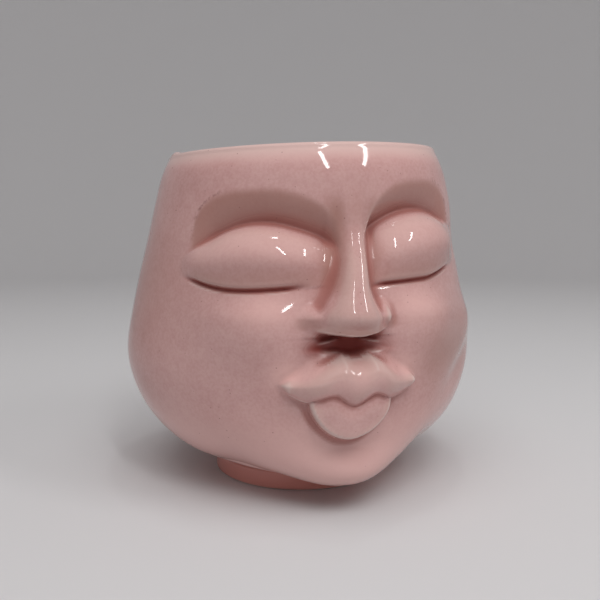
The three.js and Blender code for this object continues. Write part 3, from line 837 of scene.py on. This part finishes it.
def glazed_foot(material):
    """The foot ring: a rounded rectangle of radius and height carried round the axis, bare where
    it stands."""
    bore = FOOT_RADIUS - FOOT_WALL
    turn = np.linspace(0, math.pi / 2, FOOT_CORNER_ROWS)
    side = np.linspace(FOOT_ROUND, WALL_BOTTOM, FOOT_SIDE_ROWS + 1)[1:]
    standing = mix(bore + FOOT_ROUND, FOOT_RADIUS - FOOT_ROUND, np.array([0.02, 0.5, 0.98]))
    radius = np.concatenate([
        FOOT_RADIUS - FOOT_ROUND * (1 - np.sin(turn)),
        np.full_like(side, FOOT_RADIUS),
        np.full_like(side, bore),
        bore + FOOT_ROUND * (1 - np.sin(turn[::-1])),
        standing,
    ])[:, None]
    height = np.concatenate([
        FOOT_ROUND * (1 - np.cos(turn)),
        side,
        side[::-1],
        FOOT_ROUND * (1 - np.cos(turn[::-1])),
        np.zeros_like(standing),
    ])[:, None]
    phi = column_angles(FOOT_COLUMNS)[None, :]
    even = np.ones_like(phi)
    rows = len(radius)
    faces = ring_faces(rows + 1, FOOT_COLUMNS) % (rows * FOOT_COLUMNS)
    marks = {
        "paling_and_painted_light": np.full_like(height, PALE_OFF_FACE) * even,
        "red_brown_low": FOOT_RED_BROWN * ease(height, 0.2, 0.8) * even,
        "bare": (1 - ease(height, 0.05, 0.35)) * even,
    }
    return mesh_piece("glazed_foot", placed(phi, radius * even, height * even), [faces], marks, material)


# Materials


class Wire:
    """A socket of a node tree. Sums and products with wires or numbers, and a number less a wire, add Math
    nodes."""

    def __init__(self, tree, socket=None):
        self.tree = tree
        self.socket = socket

    def node(self, kind, settings=None, inputs=None, output=0):
        """Adds a node of a kind, applies its settings, fills or links its inputs and returns one output."""
        made = self.tree.nodes.new(kind)
        for name, value in (settings or {}).items():
            setattr(made, name, value)
        for name, value in (inputs or {}).items():
            if isinstance(value, Wire):
                self.tree.links.new(value.socket, made.inputs[name])
            else:
                made.inputs[name].default_value = value
        return Wire(self.tree, made.outputs[output] if len(made.outputs) else None)

    def math(self, operation, first, second):
        """The result of a Math node on two wires or numbers."""
        return self.node("ShaderNodeMath", {"operation": operation}, {0: first, 1: second})

    def __add__(self, other):
        return self.math("ADD", self, other)

    __radd__ = __add__

    def __mul__(self, other):
        return self.math("MULTIPLY", self, other)

    def __rsub__(self, other):
        return self.math("SUBTRACT", other, self)

    def eased(self, start, end):
        """A smooth step of this value from 0 at start to 1 at end."""
        ends = {"Value": self, "From Min": start, "From Max": end}
        return self.node("ShaderNodeMapRange", {"interpolation_type": "SMOOTHSTEP"}, ends, "Result")

    def blended(self, first, second, share):
        """A colour that goes from the first to the second as the share goes from 0 to 1."""
        return self.node("ShaderNodeMix", {"data_type": "RGBA"}, {0: share, 6: first, 7: second}, 2)

    def tinted(self, other, share):
        """This colour mixed toward another by a share."""
        return self.blended(self, other, share)


def linear(red, green, blue):
    """A display colour of 0 to 255 as the linear colour that a shader takes."""
    shares = np.array([red, green, blue]) / 255
    light = np.where(shares <= 0.04045, shares / 12.92, ((shares + 0.055) / 1.055) ** 2.4)
    return (*light.tolist(), 1.0)


PINK = linear(206, 165, 161)
ROSE = linear(192, 146, 142)
PALE = linear(226, 182, 176)
RED_BROWN = linear(208, 122, 107)
THIN = linear(213, 190, 183)
BEIGE = linear(202, 168, 160)
BROWN = linear(160, 113, 101)
POOLED = linear(160, 98, 90)
DEEP = linear(124, 22, 4)
SPECK = linear(112, 66, 60)
CLAY = linear(196, 176, 158)


def new_material(name):
    """An empty material and the wire that adds nodes to it."""
    material = bpy.data.materials.new(name)
    material.use_nodes = True
    material.node_tree.nodes.clear()
    return material, Wire(material.node_tree)


def finish_surface(wire, **inputs):
    """Ends a material with one principled surface that takes the given inputs, with underscores for
    spaces."""
    named = {name.replace("_", " "): value for name, value in inputs.items()}
    surface = wire.node("ShaderNodeBsdfPrincipled", None, named, "BSDF")
    wire.node("ShaderNodeOutputMaterial", None, {"Surface": surface})


def pink_glaze():
    """Glossy pink glaze: two pinks mottled by soft noise, paler where it runs thin over edges, brown in the
    carved hollows, red-brown where it gathers in creases and toward the foot, with a few iron specks, and
    bare buff clay where the pot stands; painted light makes the face's lit tops paler, and painted shade
    browns and darkens it where shade falls."""
    material, wire = new_material("pink_glaze")
    place = wire.node("ShaderNodeTexCoord", output="Object")

    def noise(scale, detail=2.0):
        """Soft noise of 0 to 1 with this many cells to the metre."""
        inputs = {"Vector": place, "Scale": scale, "Detail": detail, "Roughness": 0.55}
        return wire.node("ShaderNodeTexNoise", None, inputs, "Fac")

    def mark(name):
        """One of the marks painted on the mesh."""
        return wire.node("ShaderNodeAttribute", {"attribute_name": name}, None, "Fac")

    def specks(scale, radius, share):
        """Round dots in a share of the cells, this many cells to the metre, with a radius in cells."""
        inputs = {"Vector": place, "Scale": scale, "Randomness": 1.0}
        near = wire.node("ShaderNodeTexVoronoi", None, inputs, "Distance")
        chance = wire.node("ShaderNodeTexVoronoi", None, inputs, "Color")
        chosen = wire.node("ShaderNodeSeparateColor", None, {"Color": chance}, "Red")
        return (1 - near.eased(0.5 * radius, radius)) * (1 - chosen.eased(share, share + 0.02))

    grain = noise(1100.0, 1.0)
    clouds = noise(28.0, 3.0).eased(0.35, 0.7) * 0.5
    mottle = clouds + noise(300.0).eased(0.35, 0.65) * 0.25 + grain.eased(0.35, 0.7) * 0.35
    scratched = mark("carved_line") * noise(700.0).eased(0.45, 0.62)
    pooling_and_painted_shade = mark("pooling_and_painted_shade")
    dark_red_and_painted_shade = mark("dark_red_and_painted_shade")
    bare = mark("bare")

    colour = wire.blended(PINK, ROSE, mottle)
    # paler glaze toward the foot and rim, and painted light on the face's lit tops
    colour = colour.tinted(PALE, mark("paling_and_painted_light"))
    # brown glaze in the carved hollows, and painted shade
    colour = colour.tinted(BROWN, mark("brown_and_painted_shade") * 0.85)
    colour = colour.tinted(BEIGE, mark("thinning") * 0.55)
    colour = colour.tinted(THIN, mark("breaking") * 0.7)
    # pooled glaze in hollows, and painted shade beside the recess over the lip
    colour = colour.tinted(POOLED, pooling_and_painted_shade * 0.8)
    colour = colour.tinted(RED_BROWN, mark("red_brown_low"))
    colour = colour.tinted(SPECK, specks(150.0, 0.05, 0.22) * 0.75 + specks(420.0, 0.1, 0.35) * 0.5)
    colour = colour.tinted(SPECK, scratched * 0.6)
    # dark red glaze along the lashes, and painted shade under the nose
    colour = colour.tinted(DEEP, dark_red_and_painted_shade * 0.95)
    colour = colour.tinted(CLAY, bare)

    roughness = 0.04 + noise(60.0) * 0.04 + pooling_and_painted_shade * 0.4 + dark_red_and_painted_shade * 0.3 + bare * 0.6
    swell = noise(190.0) * 0.7 + grain * bare
    ripple = {"Strength": 0.35, "Distance": 0.00006, "Height": swell}
    normal = wire.node("ShaderNodeBump", None, ripple, "Normal")
    finish_surface(wire, Base_Color=colour, Roughness=roughness, Normal=normal, IOR=1.5)
    return material


def plain_matte(name, colour):
    """A matt surface of one colour for the stage."""
    material, wire = new_material(name)
    finish_surface(wire, Base_Color=colour, Roughness=0.95)
    return material


# Stage, light and camera

FLOOR_COLOUR = linear(212, 211, 212)
FLOOR_FLAT = 0.9
FLOOR_BEND = 0.7
FLOOR_WALL = 0.9
FLOOR_COLUMNS = 96
VASE_MIDDLE = Vector((0, 0, 0.06))
SKY_COLOUR = (1.0, 0.96, 0.95, 1.0)
SKY_STRENGTH = 0.29


def pale_floor():
    """A round floor that bends up into a low wall: a flat disc, a quarter circle and a short
    upright, turned."""
    turn = np.linspace(0, math.pi / 2, 24)
    flat = np.linspace(0.05, FLOOR_FLAT, 8)[:-1]
    radius = np.concatenate([flat, FLOOR_FLAT + FLOOR_BEND * np.sin(turn), [FLOOR_FLAT + FLOOR_BEND]])
    height = np.concatenate([0 * flat, FLOOR_BEND * (1 - np.cos(turn)), [FLOOR_BEND + FLOOR_WALL]])
    phi = column_angles(FLOOR_COLUMNS)
    points = np.stack([
        radius[:, None] * np.sin(phi),
        -radius[:, None] * np.cos(phi),
        height[:, None] * np.ones_like(phi),
    ], -1).reshape(-1, 3)
    points = np.concatenate([points, np.zeros((1, 3))])
    rows = len(radius)
    middle = pole_faces(0, FLOOR_COLUMNS, rows * FLOOR_COLUMNS, upward=True)
    faces = [ring_faces(rows, FLOOR_COLUMNS)[:, ::-1], middle]
    floor = mesh_piece("pale_floor", points, faces, {}, plain_matte("pale_floor", FLOOR_COLOUR))


def soft_box(name, azimuth, elevation, distance, size, brightness, roll=0.0):
    """A rectangular lamp at an azimuth from the face and an elevation, in degrees, looking at the vase's
    middle, with its power worked out from its size and brightness."""
    a = math.radians(azimuth)
    e = math.radians(elevation)
    away = Vector((math.sin(a) * math.cos(e), -math.cos(a) * math.cos(e), math.sin(e)))
    lamp = bpy.data.lights.new(name, "AREA")
    lamp.shape = "RECTANGLE"
    lamp.size, lamp.size_y = size
    lamp.energy = brightness * math.pi * size[0] * size[1]
    holder = bpy.data.objects.new(name, lamp)
    holder.location = VASE_MIDDLE + distance * away
    turn = (-away).to_track_quat("-Z", "Y") @ Quaternion((0, 0, 1), math.radians(roll))
    holder.rotation_euler = turn.to_euler()
    bpy.context.scene.collection.objects.link(holder)
    return holder


def studio():
    """A dim warm sky over the floor's wall, a broad lamp from high in front that leaves no shine, two narrow
    lamps for the strokes of shine on the forehead and along the nose, and one overhead for the lids and the
    lip."""
    broad = soft_box("broad_top", azimuth=-12, elevation=66, distance=1.4, size=(1.3, 1.3), brightness=1.95)
    broad.visible_glossy = False
    narrow = dict(distance=0.75, brightness=24.0)
    soft_box("strip_left", azimuth=3, elevation=46, size=(0.032, 0.34), roll=7, **narrow)
    soft_box("strip_right", azimuth=46, elevation=44, size=(0.032, 0.32), roll=-35, **narrow)
    soft_box("overhead", azimuth=90, elevation=85, distance=0.75, size=(0.05, 0.07), brightness=18.0)
    world = bpy.data.worlds.new("studio")
    world.use_nodes = True
    background = world.node_tree.nodes["Background"]
    background.inputs["Color"].default_value = SKY_COLOUR
    background.inputs["Strength"].default_value = SKY_STRENGTH
    bpy.context.scene.world = world


CAMERA_YAW = 14.5
CAMERA_DISTANCE = 0.257
CAMERA_HEIGHT = 0.0875
CAMERA_PITCH = 6.27
LENS = 43.2
SENSOR = 36.0


def photo_camera():
    """A camera left of the face's middle, a little above the lids, looking slightly down past the foot's
    axis."""
    yaw = math.radians(CAMERA_YAW)
    pitch = math.radians(CAMERA_PITCH)
    toward = Vector((math.sin(yaw), math.cos(yaw), 0))
    axis = Vector((FOOT_CENTRE[0] * MM, FOOT_CENTRE[1] * MM, CAMERA_HEIGHT))
    ahead = toward * math.cos(pitch) - Vector((0, 0, math.sin(pitch)))
    data = bpy.data.cameras.new("photo_camera")
    data.lens = LENS
    data.sensor_width = SENSOR
    data.clip_start = 0.01
    camera = bpy.data.objects.new("photo_camera", data)
    camera.location = axis - toward * CAMERA_DISTANCE
    camera.rotation_euler = ahead.to_track_quat("-Z", "Y").to_euler()
    bpy.context.scene.collection.objects.link(camera)
    bpy.context.scene.camera = camera


photo_camera()
studio()
pale_floor()
glaze = pink_glaze()

body = glazed_body(glaze)
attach(body, "root")
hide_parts("body_wall", "floor_slab", "left_eyelid", "right_eyelid", "nose", "upper_lip", "lower_lip")

foot = glazed_foot(glaze)
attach(foot, "root")
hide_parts("foot_ring")

bpy.context.scene.view_settings.view_transform = "Standard"
